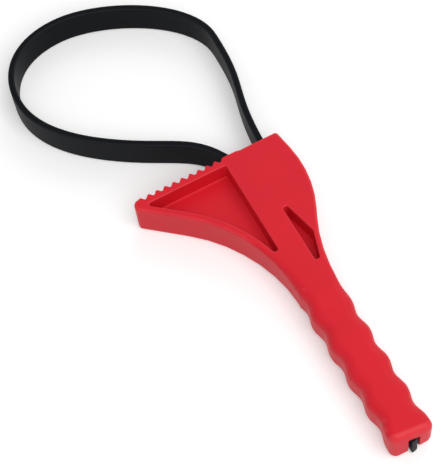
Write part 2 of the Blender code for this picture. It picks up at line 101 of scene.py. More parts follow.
# Mesh working limits
WELD = 1e-6
LEVEL = 2e-5  # heights closer than this are the same
FLAT_ANGLE = math.radians(0.2)
CREASE_ANGLE = math.radians(40.0)  # shading breaks at edges that turn further
SHARP_ANGLE = math.radians(55.0)
STEEP_ANGLE = math.radians(60.0)  # past the flanks of the teeth
FULL_RIM_ANGLE = math.radians(25.0)  # an edge that turns this far gets the full painted highlight
LEVEL_NORMAL = 0.9999  # a face whose normal has more Z than this is level
WALL_NORMAL = 0.5  # a face whose normal has less Z than this is a wall
UPRIGHT_NORMAL = 0.1  # and with less than this an upright one
CHAMFER_NORMALS = (-0.9, -0.3)  # Z of the chamfers along the belt's rear edge
RIM_FACE_WIDTH = 0.0011  # faces wider than this aren't part of a rounded rim
RUNG_PLAY = 1.1  # rungs are at most this much longer than the shortest
LEAST_MITRE = 0.5  # smallest cosine used at a rim's corners, so sharp ones don't shoot out
LARGEST_ONLY = 100  # the largest face round a vertex sets its normal
WHOLE_HULL = 0  # the fill covers everything between its outermost points

# Places in the handle
FLOOR_ABOVE_REAR = 0.004  # pocket floors lie further from the rear face than this
FLOOR_BELOW_FRONT = 0.006  # and from the front face than this
DEEP_SHARE = 0.6  # of the handle's thickness; only the strap's ways are deeper

# Belt, with the nodes that follow its fixed end in order up to the tail
BELT_NODES = (
    "strap_right_strand",
    "strap_crown",
    "strap_left_strand",
    "strap_entry_bend",
    "strap_leader",
)
BELT_EDGE_STEPS = 5
GUARD_SHARE = 0.6  # of the edge round; rows of points this far from it keep the flat sides flat
GUARD_GAP = 4  # guard rows go into gaps longer than this many of them

# Grain, patches and the painted highlight along rims
GRAIN_DETAIL = 3.0
PATCH_SCALE = 0.03  # of the patches' pattern against the grain's
PATCH_DETAIL = 4.0
PATCH_HIGHLIGHT = (0.35, 1.0)  # share of the painted rim highlight in the patches with least and most of it
PATCH_SHADE = (0.93, 1.07)
STREAK_DRAW = 30.0  # streaks along the belt are this many times as long as wide

# Cut end of the belt
PLY_LINE = 0.45  # higher makes the lines of the plies thinner
THREAD_SCALE = 1600.0
THREAD_DETAIL = 2.0
THREAD_SPREAD = (0.3, 1.9)
THREAD_DEPTH = 0.00012

# Studio
WHITE = (1.0, 1.0, 1.0, 1.0)
FLOOR_REACH = 6.0
FLOOR_GAP = 0.0003
CAMERA_REACH = 20.0

# Attributes that the meshes carry for their materials
# share of each vertex on a rounded rim, by which the materials paint a highlight there
RIM_HIGHLIGHT = "rim"
BELT_PLACE = "belt_place"


class HandleLook(bpy.types.PropertyGroup):
    """Sizes and finish of the moulded handle."""

    colour: bpy.props.FloatVectorProperty(
        name="Colour",
        description="Red of the moulding",
        subtype="COLOR",
        default=(0.66, 0.011, 0.024),
    )
    # Painted highlight: lighter red along the rounded rims, uneven from patch to patch
    rim_highlight_colour: bpy.props.FloatVectorProperty(
        name="Rubbed colour",
        description="Lighter red painted along rounded edges as a highlight",
        subtype="COLOR",
        default=(0.74, 0.040, 0.055),
    )
    roughness: bpy.props.FloatProperty(
        name="Roughness",
        description="Middle roughness of the moulded skin",
        default=0.46,
        min=0.0,
        max=1.0,
    )
    roughness_swing: bpy.props.FloatProperty(
        name="Roughness swing",
        description="Most that patches differ from it",
        default=0.05,
        min=0.0,
        max=1.0,
    )
    specular: bpy.props.FloatProperty(
        name="Specular",
        description="Specular level of the moulded skin",
        default=0.22,
        min=0.0,
        max=1.0,
    )
    pocket_rim: bpy.props.FloatProperty(
        name="Pocket rim",
        description="Round along the edges of the pockets",
        unit="LENGTH",
        default=0.0008,
    )
    pocket_floor: bpy.props.FloatProperty(
        name="Pocket floor",
        description="Fillet between a pocket's walls and its floor",
        unit="LENGTH",
        default=0.0011,
    )
    channel_rim: bpy.props.FloatProperty(
        name="Channel rim",
        description="Round along the edges where the strap's channel and keyhole open out",
        unit="LENGTH",
        default=0.0003,
    )
    grain_size: bpy.props.FloatProperty(
        name="Grain size", description="Grain of the moulded skin", unit="LENGTH", default=0.0007
    )
    grain_depth: bpy.props.FloatProperty(
        name="Grain depth", description="Depth of that grain", unit="LENGTH", default=0.00002
    )


class BeltLook(bpy.types.PropertyGroup):
    """Sizes and finish of the rubber belt."""

    colour: bpy.props.FloatVectorProperty(
        name="Colour",
        description="Black of the rubber",
        subtype="COLOR",
        default=(0.0046, 0.0054, 0.0070),
    )
    # Painted highlight: greyer rubber along the belt's rounded edges; the cut tail also takes this
    # grey as its own
    rim_highlight_colour: bpy.props.FloatVectorProperty(
        name="Rubbed colour",
        description="Greyer rubber painted along the belt's edges as a highlight, and the cut tail's grey",
        subtype="COLOR",
        default=(0.021, 0.023, 0.027),
    )
    roughness: bpy.props.FloatProperty(
        name="Roughness",
        description="Middle roughness of the rubber",
        default=0.47,
        min=0.0,
        max=1.0,
    )
    roughness_swing: bpy.props.FloatProperty(
        name="Roughness swing",
        description="Most that patches differ from it",
        default=0.07,
        min=0.0,
        max=1.0,
    )
    specular: bpy.props.FloatProperty(
        name="Specular", description="Specular level of the rubber", default=0.05, min=0.0, max=1.0
    )
    cut_roughness: bpy.props.FloatProperty(
        name="Cut roughness", description="Roughness of the cut tail", default=0.8, min=0.0, max=1.0
    )
    cut_specular: bpy.props.FloatProperty(
        name="Cut specular",
        description="Specular level of the cut tail",
        default=0.2,
        min=0.0,
        max=1.0,
    )
    edge_round: bpy.props.FloatProperty(
        name="Edge round",
        description="Round along the belt's four edges",
        unit="LENGTH",
        default=0.0010,
    )
    step: bpy.props.FloatProperty(
        name="Step",
        description="Length of one mesh step along the belt",
        unit="LENGTH",
        default=0.0018,
    )
    cut_round: bpy.props.FloatProperty(
        name="Cut round", description="Softened edge of the cut tail", unit="LENGTH", default=0.0003
    )
    streak_size: bpy.props.FloatProperty(
        name="Streak size",
        description="Width of the faint lines along the belt",
        unit="LENGTH",
        default=0.0009,
    )
    streak_depth: bpy.props.FloatProperty(
        name="Streak depth", description="Depth of those lines", unit="LENGTH", default=0.00003
    )
    ply_colour: bpy.props.FloatVectorProperty(
        name="Ply colour",
        description="Fabric plies that show in the cut tail",
        subtype="COLOR",
        default=(0.075, 0.080, 0.085),
    )
    ply_pitch: bpy.props.FloatProperty(
        name="Ply pitch",
        description="From one fabric ply to the next",
        unit="LENGTH",
        default=0.0014,
    )


class PinLook(bpy.types.PropertyGroup):
    """Sizes and finish of the steel anchor pin."""

    colour: bpy.props.FloatVectorProperty(
        name="Colour", description="Plain turned steel", subtype="COLOR", default=(0.52, 0.52, 0.53)
    )
    # Painted highlight: brighter steel along the pin's rounded edges
    rim_highlight_colour: bpy.props.FloatVectorProperty(
        name="Rubbed colour",
        description="Brighter steel painted at its edges as a highlight",
        subtype="COLOR",
        default=(0.68, 0.68, 0.69),
    )
    roughness: bpy.props.FloatProperty(
        name="Roughness",
        description="Middle roughness of the steel",
        default=0.34,
        min=0.0,
        max=1.0,
    )
    roughness_swing: bpy.props.FloatProperty(
        name="Roughness swing",
        description="Most that patches differ from it",
        default=0.06,
        min=0.0,
        max=1.0,
    )
    turning_size: bpy.props.FloatProperty(
        name="Turning size", description="Grain that turning left", unit="LENGTH", default=0.0004
    )
    turning_depth: bpy.props.FloatProperty(
        name="Turning depth", description="Depth of that grain", unit="LENGTH", default=0.000008
    )
    rim_round: bpy.props.FloatProperty(
        name="Rim round", description="Round at the pin's ends", unit="LENGTH", default=0.0005
    )


class StudioLook(bpy.types.PropertyGroup):
    """Floor, lamps and camera."""

    floor_colour: bpy.props.FloatVectorProperty(
        name="Floor colour", description="Pale floor", subtype="COLOR", default=(0.86, 0.86, 0.86)
    )
    floor_lift: bpy.props.FloatProperty(
        name="Floor lift",
        description="Glow that the camera sees on the floor",
        default=0.25,
        min=0.0,
    )
    world_fill: bpy.props.FloatProperty(
        name="World fill", description="Even light from all round", default=0.45, min=0.0
    )
    key_power: bpy.props.FloatProperty(
        name="Key power",
        description="Large soft lamp above the grip",
        unit="POWER",
        default=18.0,
        min=0.0,
    )
    key_place: bpy.props.FloatVectorProperty(
        name="Key place",
        description="Where that lamp hangs",
        subtype="TRANSLATION",
        default=(0.15, -0.9, 1.4),
    )
    key_width: bpy.props.FloatProperty(
        name="Key width", description="Side of that square lamp", unit="LENGTH", default=1.4
    )
    back_power: bpy.props.FloatProperty(
        name="Back power",
        description="Soft lamp beyond the loop",
        unit="POWER",
        default=4.0,
        min=0.0,
    )
    back_place: bpy.props.FloatVectorProperty(
        name="Back place",
        description="Where that lamp hangs",
        subtype="TRANSLATION",
        default=(0.9, 0.9, 0.9),
    )
    back_width: bpy.props.FloatProperty(
        name="Back width", description="Side of that square lamp", unit="LENGTH", default=1.0
    )
    camera_place: bpy.props.FloatVectorProperty(
        name="Camera place",
        description="Where the camera stands",
        subtype="TRANSLATION",
        default=(-0.17827, -0.53957, 0.99229),
    )
    camera_turn: bpy.props.FloatVectorProperty(
        name="Camera turn",
        description="How the camera is turned",
        subtype="EULER",
        default=(math.radians(29.4785), math.radians(4.9615), math.radians(-27.5665)),
    )
    lens: bpy.props.FloatProperty(
        name="Lens", description="Focal length in millimetres", default=139.35, min=1.0
    )


# Shared node work


def new_group(name, inputs, outputs):
    """Shader node group with its sockets, and its input and output nodes."""
    group = bpy.data.node_groups.new(name, "ShaderNodeTree")
    for label, kind in inputs:
        group.interface.new_socket(label, in_out="INPUT", socket_type=kind)
    for label, kind in outputs:
        group.interface.new_socket(label, in_out="OUTPUT", socket_type=kind)
    return group, group.nodes.new("NodeGroupInput"), group.nodes.new("NodeGroupOutput")


def maths(tree, operation, first, second):
    """Math node whose two values are sockets or plain numbers."""
    node = tree.nodes.new("ShaderNodeMath")
    node.operation = operation
    for socket, value in zip(node.inputs, (first, second)):
        if isinstance(value, (int, float)):
            socket.default_value = value
        else:
            tree.links.new(value, socket)
    return node.outputs[0]


def spread(tree, value, low, high):
    """Value from 0 to 1 spread between two numbers."""
    node = tree.nodes.new("ShaderNodeMapRange")
    node.inputs["To Min"].default_value = low
    node.inputs["To Max"].default_value = high
    tree.links.new(value, node.inputs["Value"])
    return node.outputs["Result"]


def noise(tree, place, scale, detail):
    """Noise value at a place."""
    node = tree.nodes.new("ShaderNodeTexNoise")
    node.inputs["Scale"].default_value = scale
    node.inputs["Detail"].default_value = detail
    tree.links.new(place, node.inputs["Vector"])
    return node.outputs["Fac"]


def grain_group():
    """Fine grain of a given size, drawn out along the first axis, with broad patches under it."""
    name = "skin_grain"
    if name in bpy.data.node_groups:
        return bpy.data.node_groups[name]
    group, given, made = new_group(
        name,
        [("Place", "NodeSocketVector"), ("Size", "NodeSocketFloat"), ("Draw", "NodeSocketFloat")],
        [("Height", "NodeSocketFloat"), ("Patch", "NodeSocketFloat")],
    )
    fine = group.nodes.new("ShaderNodeVectorMath")
    fine.operation = "SCALE"
    group.links.new(given.outputs["Place"], fine.inputs[0])
    group.links.new(maths(group, "DIVIDE", 1.0, given.outputs["Size"]), fine.inputs["Scale"])
    stretch = group.nodes.new("ShaderNodeCombineXYZ")
    stretch.inputs["Y"].default_value = 1.0
    stretch.inputs["Z"].default_value = 1.0
    group.links.new(maths(group, "DIVIDE", 1.0, given.outputs["Draw"]), stretch.inputs["X"])
    drawn = group.nodes.new("ShaderNodeVectorMath")
    drawn.operation = "MULTIPLY"
    group.links.new(fine.outputs[0], drawn.inputs[0])
    group.links.new(stretch.outputs[0], drawn.inputs[1])
    group.links.new(noise(group, drawn.outputs[0], 1.0, GRAIN_DETAIL), made.inputs["Height"])
    group.links.new(noise(group, drawn.outputs[0], PATCH_SCALE, PATCH_DETAIL), made.inputs["Patch"])
    return group


def rim_highlight_group():
    """Colour that pales unevenly along rims as a painted highlight, and shifts a little from patch
    to patch.
    """
    name = "rubbed_edges"
    if name in bpy.data.node_groups:
        return bpy.data.node_groups[name]
    group, given, made = new_group(
        name,
        [
            ("Colour", "NodeSocketColor"),
            ("Rim highlight", "NodeSocketColor"),
            ("Rim", "NodeSocketFloat"),
            ("Patch", "NodeSocketFloat"),
        ],
        [("Colour", "NodeSocketColor")],
    )
    uneven = spread(group, given.outputs["Patch"], *PATCH_HIGHLIGHT)
    share = maths(group, "MULTIPLY", given.outputs["Rim"], uneven)
    highlit = group.nodes.new("ShaderNodeMix")
    highlit.data_type = "RGBA"
    group.links.new(share, highlit.inputs["Factor"])
    group.links.new(given.outputs["Colour"], highlit.inputs["A"])
    group.links.new(given.outputs["Rim highlight"], highlit.inputs["B"])
    shade = group.nodes.new("ShaderNodeHueSaturation")
    group.links.new(spread(group, given.outputs["Patch"], *PATCH_SHADE), shade.inputs["Value"])
    group.links.new(highlit.outputs["Result"], shade.inputs["Color"])
    group.links.new(shade.outputs["Color"], made.inputs["Colour"])
    return group


def place_group(tree, group, values):
    """Group node with each input set to a value or fed from a socket."""
    node = tree.nodes.new("ShaderNodeGroup")
    node.node_tree = group
    for label, value in values.items():
        if isinstance(value, bpy.types.NodeSocket):
            tree.links.new(value, node.inputs[label])
        else:
            node.inputs[label].default_value = value
    return node


def read_attribute(tree, name, output):
    node = tree.nodes.new("ShaderNodeAttribute")
    node.attribute_name = name
    return node.outputs[output]


def grain_and_highlight_material(name, look, place_of, size, draw, depth):
    """Principled material with grain, patches and a painted highlight along rims; returns it with
    its shader.
    """
    material = bpy.data.materials.new(name)
    material.use_nodes = True
    tree = material.node_tree
    shader = tree.nodes["Principled BSDF"]
    grain = place_group(tree, grain_group(), {"Place": place_of(tree), "Size": size, "Draw": draw})
    highlit = place_group(
        tree,
        rim_highlight_group(),
        {
            "Colour": (*look.colour, 1.0),
            "Rim highlight": (*look.rim_highlight_colour, 1.0),
            "Rim": read_attribute(tree, RIM_HIGHLIGHT, "Fac"),
            "Patch": grain.outputs["Patch"],
        },
    )
    tree.links.new(highlit.outputs["Colour"], shader.inputs["Base Color"])
    low, high = look.roughness - look.roughness_swing, look.roughness + look.roughness_swing
    tree.links.new(spread(tree, grain.outputs["Patch"], low, high), shader.inputs["Roughness"])
    bump = tree.nodes.new("ShaderNodeBump")
    bump.inputs["Distance"].default_value = depth
    tree.links.new(grain.outputs["Height"], bump.inputs["Height"])
    tree.links.new(bump.outputs["Normal"], shader.inputs["Normal"])
    return material, shader


def object_place(tree):
    return tree.nodes.new("ShaderNodeTexCoord").outputs["Object"]


def belt_place(tree):
    return read_attribute(tree, BELT_PLACE, "Vector")


def handle_plastic():
    look = bpy.context.scene.wrench_handle
    material, shader = grain_and_highlight_material(
        "red_moulded_plastic",
        look,
        object_place,
        size=look.grain_size,
        draw=1.0,
        depth=look.grain_depth,
    )
    shader.inputs["Specular IOR Level"].default_value = look.specular
    return material


def belt_rubber():
    name = "black_belt_rubber"
    if name in bpy.data.materials:
        return bpy.data.materials[name]
    look = bpy.context.scene.wrench_belt
    material, shader = grain_and_highlight_material(
        name, look, belt_place, size=look.streak_size, draw=STREAK_DRAW, depth=look.streak_depth
    )
    shader.inputs["Specular IOR Level"].default_value = look.specular
    return material


def cut_rubber():
    """Cut end of the belt, with its fabric plies showing as paler lines."""
    look = bpy.context.scene.wrench_belt
    material = bpy.data.materials.new("cut_belt_end")
    material.use_nodes = True
    tree = material.node_tree
    shader = tree.nodes["Principled BSDF"]
    parts = tree.nodes.new("ShaderNodeSeparateXYZ")
    tree.links.new(belt_place(tree), parts.inputs[0])
    turns = maths(tree, "MULTIPLY", parts.outputs["Y"], math.tau / look.ply_pitch)
    wave = maths(tree, "COSINE", turns, 0.0)
    line = maths(tree, "SMOOTH_MAX", maths(tree, "SUBTRACT", wave, PLY_LINE), 0.0)
    threads = noise(tree, belt_place(tree), THREAD_SCALE, THREAD_DETAIL)
    share = maths(tree, "MULTIPLY", line, spread(tree, threads, *THREAD_SPREAD))
    mix = tree.nodes.new("ShaderNodeMix")
    mix.data_type = "RGBA"
    # The cut face's own grey reuses the colour of the painted highlight along the belt's edges
    mix.inputs["A"].default_value = (*look.rim_highlight_colour, 1.0)
    mix.inputs["B"].default_value = (*look.ply_colour, 1.0)
    tree.links.new(share, mix.inputs["Factor"])
    tree.links.new(mix.outputs["Result"], shader.inputs["Base Color"])
    bump = tree.nodes.new("ShaderNodeBump")
    bump.inputs["Distance"].default_value = THREAD_DEPTH
    tree.links.new(threads, bump.inputs["Height"])
    tree.links.new(bump.outputs["Normal"], shader.inputs["Normal"])
    shader.inputs["Roughness"].default_value = look.cut_roughness
    shader.inputs["Specular IOR Level"].default_value = look.cut_specular
    return material


def pin_steel():
    look = bpy.context.scene.wrench_pin
    material, shader = grain_and_highlight_material(
        "turned_steel",
        look,
        object_place,
        size=look.turning_size,
        draw=1.0,
        depth=look.turning_depth,
    )
    shader.inputs["Metallic"].default_value = 1.0
    return material


# Shared mesh work


def welded_copy(node):
    """A CAD node's mesh as a closed skin of flat faces."""
    shape = bmesh.new()
    shape.from_mesh(frame["nodes"][node].data)
    bmesh.ops.remove_doubles(shape, verts=shape.verts, dist=WELD)
    bmesh.ops.dissolve_limit(shape, angle_limit=FLAT_ANGLE, verts=shape.verts, edges=shape.edges)
    return shape


def turn(edge):
    """Angle between an edge's faces: positive on a ridge, negative in a hollow."""
    return edge.calc_face_angle_signed(0.0)


def on_level(part, height):
    """Whether an edge or a face lies at a height."""
    return all(abs(vert.co.z - height) < LEVEL for vert in part.verts)


def round_edges(shape, edges, width, segments=3):
    bmesh.ops.bevel(
        shape,
        geom=edges,
        offset=width,
        offset_type="OFFSET",
        segments=segments,
        profile=0.5,
        affect="EDGES",
        clamp_overlap=False,
        loop_slide=True,
    )


def inside(place, sides):
    """Whether a plan place lies inside closed loops of sides, holes left out."""
    crossings = 0
    for first, second in sides:
        if (first.y > place.y) != (second.y > place.y):
            share = (place.y - first.y) / (second.y - first.y)
            crossings += first.x + (second.x - first.x) * share > place.x
    return crossings % 2 == 1


def open_level(shape, level):
    """Take the flat faces at a height away."""
    flat = [face for face in shape.faces if on_level(face, level)]
    bmesh.ops.delete(shape, geom=flat, context="FACES")


def fill_level(shape, level):
    """Fill the open rims at a height with clean triangles."""
    rims = [edge for edge in shape.edges if edge.is_boundary and on_level(edge, level)]
    verts = list(dict.fromkeys(vert for edge in rims for vert in edge.verts))
    number = {vert: index for index, vert in enumerate(verts)}
    joined = [tuple(number[vert] for vert in edge.verts) for edge in rims]
    sides = [tuple(vert.co.xy for vert in edge.verts) for edge in rims]
    plan = [vert.co.xy for vert in verts]
    _, _, triangles, sources, _, _ = delaunay_2d_cdt(plan, joined, [], WHOLE_HULL, 0.0)
    for corners in triangles:
        triangle = [verts[sources[corner][0]] for corner in corners]
        middle = (triangle[0].co + triangle[1].co + triangle[2].co) / 3
        if inside(middle, sides):
            shape.faces.new(triangle)


def upright_loops(shape, level):
    """Closed loops of open edges at a height that upright walls end in."""
    rims = [edge for edge in shape.edges if edge.is_boundary and on_level(edge, level)]
    left = dict.fromkeys(edge for edge in rims if abs(edge.link_faces[0].normal.z) < UPRIGHT_NORMAL)
    loops = []
    while left:
        following, _ = left.popitem()
        loop = list(following.verts)
        while following:
            following = next((edge for edge in loop[-1].link_edges if edge in left), None)
            if following:
                del left[following]
                loop.append(following.other_vert(loop[-1]))
        if loop[0] is loop[-1]:
            loops.append(loop[1:])
    return loops


def round_loop(shape, loop, level, inward, radius, segments=4):
    """Round the rim of a pocket between its upright walls and the open face around it."""
    plan = [vert.co.xy for vert in loop]
    count = len(loop)
    area = sum(plan[index - 1].cross(plan[index]) for index in range(count))
    side = math.copysign(1.0, area)
    outward = []
    for index, place in enumerate(plan):
        into = (place - plan[index - 1]).normalized()
        out = (plan[(index + 1) % count] - place).normalized()
        along = (into + out).normalized()
        outward.append(Vector((along.y, -along.x)) * side / max(LEAST_MITRE, along.dot(into)))
    for vert in loop:
        vert.co.z = level + inward * radius
    ring = loop
    for segment in range(1, segments + 1):
        angle = math.radians(90.0) * segment / segments
        reach = radius * (1 - math.cos(angle))
        height = level + inward * radius * (1 - math.sin(angle))
        following = [
            shape.verts.new((*(place + step * reach), height)) for place, step in zip(plan, outward)
        ]
        for index in range(count):
            shape.faces.new((ring[index - 1], ring[index], following[index], following[index - 1]))
        ring = following


def face_width(face):
    """About how wide a long face is."""
    return face.calc_area() / max(edge.calc_length() for edge in face.edges)


def rim_highlight_shares(shape):
    """How far each vertex lies on a narrow rounded rim, from 0 to 1; this sets its painted
    highlight.
    """
    shares = []
    for vert in shape.verts:
        flat = any(abs(face.normal.z) > LEVEL_NORMAL for face in vert.link_faces)
        narrow = not flat and all(face_width(face) < RIM_FACE_WIDTH for face in vert.link_faces)
        ridge = max((turn(edge) for edge in vert.link_edges), default=0.0)
        shares.append(min(1.0, max(0.0, ridge / FULL_RIM_ANGLE)) if narrow else 0.0)
    return shares


def add_attribute(mesh, name, kind, values):
    attribute = mesh.attributes.new(name, kind, "POINT")
    flat = values if kind == "FLOAT" else [number for value in values for number in value]
    attribute.data.foreach_set("value" if kind == "FLOAT" else "vector", flat)


def piece_from(shape, name, materials, rims, places=None):
    """Smooth-shaded object from a bmesh, with its attributes."""
    mesh = bpy.data.meshes.new(name)
    shape.to_mesh(mesh)
    shape.free()
    add_attribute(mesh, RIM_HIGHLIGHT, "FLOAT", rims)
    if places:
        add_attribute(mesh, BELT_PLACE, "FLOAT_VECTOR", places)
    for material in materials:
        mesh.materials.append(material)
    mesh.shade_smooth()
    mesh.set_sharp_from_angle(angle=CREASE_ANGLE)
    item = bpy.data.objects.new(name, mesh)
    bpy.context.scene.collection.objects.link(item)
    return item


def weigh_normals(item):
    """Keep large faces flat under smooth shading."""
    modifier = item.modifiers.new("weighted_normals", "WEIGHTED_NORMAL")
    modifier.keep_sharp = True
    modifier.weight = LARGEST_ONLY


# Handle


def wall_height(edge):
    """Height of the upright face beside an edge."""
    heights = [0.0]
    for face in edge.link_faces:
        if abs(face.normal.z) < WALL_NORMAL:
            levels = [vert.co.z for vert in face.verts]
            heights.append(max(levels) - min(levels))
    return max(heights)


def pocket_floor_edges(shape):
    """Edges between the pockets' walls and their floors."""
    low, high = HANDLE_LOW.z + FLOOR_ABOVE_REAR, HANDLE_HIGH.z - FLOOR_BELOW_FRONT
    edges = []
    for edge in shape.edges:
        height = edge.verts[0].co.z
        if turn(edge) < -SHARP_ANGLE and on_level(edge, height) and low < height < high:
            edges.append(edge)
    return edges


def strap_way_edges(shape):
    """Sharp edges where the channel and the keyhole, deeper than the pockets, open out."""
    deep = (HANDLE_HIGH.z - HANDLE_LOW.z) * DEEP_SHARE
    edges = []
    for edge in shape.edges:
        level = on_level(edge, HANDLE_LOW.z) or on_level(edge, HANDLE_HIGH.z)
        if turn(edge) > STEEP_ANGLE and (wall_height(edge) > deep or not level):
            edges.append(edge)
    return edges


class WRENCH_OT_handle(bpy.types.Operator):
    """Moulded handle: the CAD handle with rounded pocket and channel edges"""

    bl_idname = "wrench.handle"
    bl_label = "Handle"

    def execute(self, context):
        look = context.scene.wrench_handle
        shape = welded_copy("handle")
        round_edges(shape, pocket_floor_edges(shape), look.pocket_floor, segments=4)
        round_edges(shape, strap_way_edges(shape), look.channel_rim, segments=2)
        for level, inward in ((HANDLE_LOW.z, 1.0), (HANDLE_HIGH.z, -1.0)):
            open_level(shape, level)
            for loop in upright_loops(shape, level):
                round_loop(shape, loop, level, inward, look.pocket_rim)
            fill_level(shape, level)
        bmesh.ops.recalc_face_normals(shape, faces=shape.faces)
        item = piece_from(shape, "moulded_handle", [handle_plastic()], rim_highlight_shares(shape))
        weigh_normals(item)
        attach(item, "handle")
        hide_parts("handle")
        return {"FINISHED"}


# Belt


def belt_thickness():
    low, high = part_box("strap_leader")
    return high.x - low.x


def belt_rungs(node):
    """Middles and directions of the rungs across a belt node's rear edge."""
    shape = bmesh.new()
    shape.from_mesh(frame["nodes"][node].data)
    bmesh.ops.remove_doubles(shape, verts=shape.verts, dist=WELD)
    low = min(vert.co.z for vert in shape.verts)
    least, most = CHAMFER_NORMALS
    across = [
        edge
        for edge in shape.edges
        if on_level(edge, low) and not any(least < face.normal.z < most for face in edge.link_faces)
    ]
    shortest = min(edge.calc_length() for edge in across)
    rungs = []
    for edge in across:
        if edge.calc_length() < shortest * RUNG_PLAY:
            first, second = (vert.co.xy for vert in edge.verts)
            rungs.append(((first + second) / 2, (second - first).normalized()))
    shape.free()
    return rungs


def in_order(rungs, start):
    """Rungs as a chain of nearest neighbours, from the one nearest to a start."""
    left = list(rungs)
    chain = []
    place = start
    while left:
        nearest = min(left, key=lambda rung: (rung[0] - place).length)
        left.remove(nearest)
        chain.append(nearest)
        place = nearest[0]
    return chain


def belt_lines():
    """Middle lines of the belt's nodes, joined end to end, and the direction of the tail's cut."""
    fixed_low, fixed_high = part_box("strap_fixed_end")
    place = Vector(((fixed_low.x + fixed_high.x) / 2, fixed_high.y))
    lines = {}
    for node in BELT_NODES:
        chain = in_order(belt_rungs(node), place)
        lines[node] = [rung[0] for rung in chain]
        place = lines[node][-1]
        tail_across = chain[-1][1]
    names = list(lines)
    for before, after in zip(names, names[1:]):
        joint = (lines[before][-1] + lines[after][0]) / 2
        lines[before][-1] = joint.copy()
        lines[after][0] = joint.copy()
    # The first line starts where the fixed end stops
    first = lines[names[0]]
    first[0] = first[0] - (first[1] - first[0]).normalized() * (first[0].y - fixed_high.y)
    return lines, tail_across


def smooth_line(before, points, after, step):
    """Points closer together on the smooth curve through a line and on to its neighbours."""
    line = []
    full = [before or points[0] * 2 - points[1], *points, after or points[-1] * 2 - points[-2]]
    for a, b, c, d in zip(full, full[1:], full[2:], full[3:]):
        span = (c - b).length
        leave = (c - a) * span / ((b - a).length + span)
        arrive = (d - b) * span / ((d - c).length + span)
        steps = max(1, math.ceil(span / step))
        for index in range(steps):
            t = index / steps
            line.append(
                b * (2 * t**3 - 3 * t**2 + 1)
                + leave * (t**3 - 2 * t**2 + t)
                + c * (3 * t**2 - 2 * t**3)
                + arrive * (t**3 - t**2)
            )
    line.append(points[-1].copy())
    return line


def leader_tops():
    """Places along the leader, from its tail up, and the height of its front edge there."""
    tops = []
    for vert in sorted(frame["nodes"]["strap_leader"].data.vertices, key=lambda vert: vert.co.y):
        if vert.co.z > (BELT_LOW.z + BELT_HIGH.z) / 2:
            if tops and vert.co.y - tops[-1][0] < belt_thickness():
                tops[-1][1] = max(tops[-1][1], vert.co.z)
            else:
                tops.append([vert.co.y, vert.co.z])
    return tops


def height_along(tops, place):
    """Height between the two nearest of some places and heights."""
    for (low, before), (high, after) in zip(tops, tops[1:]):
        if place <= high:
            share = min(1.0, max(0.0, (place - low) / (high - low)))
            return before + (after - before) * share
    return tops[-1][1]


def belt_section(top, inset):
    """Belt's section as (across, height, rim share), with rounded edges, drawn in by an inset."""
    look = bpy.context.scene.wrench_belt
    half = belt_thickness() / 2 - inset
    low, high = BELT_LOW.z + inset, top - inset
    radius = look.edge_round
    steps = BELT_EDGE_STEPS
    points = []
    corners = [
        (half - radius, low + radius, -90.0),
        (half - radius, high - radius, 0.0),
        (-half + radius, high - radius, 90.0),
        (-half + radius, low + radius, 180.0),
    ]
    for centre, height, start in corners:
        for step in range(steps + 1):
            angle = math.radians(start + 90.0 * step / steps)
            # share of the painted highlight: fullest in the middle of each round
            rim = math.sin(math.pi * step / steps)
            across = centre + radius * math.cos(angle)
            points.append((across, height + radius * math.sin(angle), rim))
    guard = radius * GUARD_SHARE
    guarded = []
    for index, point in enumerate(points):
        after = points[(index + 1) % len(points)]
        guarded.append(point)
        gap = math.hypot(after[0] - point[0], after[1] - point[1])
        if gap > GUARD_GAP * guard:
            for share in (guard / gap, 1 - guard / gap):
                across = point[0] + (after[0] - point[0]) * share
                height = point[1] + (after[1] - point[1]) * share
                guarded.append((across, height, 0.0))
    return guarded


def belt_piece(name, line, before, after, run, tail_across=None):
    """Belt swept along a line; the leader narrows, and its tail keeps the slant of its cut."""
    look = bpy.context.scene.wrench_belt
    tops = leader_tops() if tail_across else [(BELT_LOW.y, BELT_HIGH.z), (BELT_HIGH.y, BELT_HIGH.z)]
    shape = bmesh.new()
    rims, places, rings = [], [], []
    count = len(line)
    for index, point in enumerate(line):
        back = line[index - 1] if index else before or point * 2 - line[1]
        ahead = line[index + 1] if index < count - 1 else after or point * 2 - line[-2]
        along = (ahead - back).normalized()
        across = Vector((-along.y, along.x))
        if index:
            run += (point - line[index - 1]).length
        insets = [0.0]
        if tail_across and index == count - 1:
            across = tail_across if tail_across.dot(across) > 0 else -tail_across
            insets = [0.0, look.cut_round]
        for inset in insets:
            step_back = along * (look.cut_round if len(insets) > 1 and inset == 0.0 else 0.0)
            ring = []
            for side, height, rim in belt_section(height_along(tops, point.y), inset):
                spot = point - step_back + across * side
                ring.append(shape.verts.new((spot.x, spot.y, height)))
                rims.append(rim)
                places.append((run, side, height))
            rings.append(ring)
    for ring, following in zip(rings, rings[1:]):
        for side in range(len(ring)):
            other = (side + 1) % len(ring)
            shape.faces.new((ring[side], following[side], following[other], ring[other]))
    shape.faces.new(rings[0])
    end = shape.faces.new(list(reversed(rings[-1])))
    materials = [belt_rubber()]
    if tail_across:
        end.material_index = 1
        materials.append(cut_rubber())
    bmesh.ops.recalc_face_normals(shape, faces=shape.faces)
    item = piece_from(shape, name, materials, rims, places)
    return item


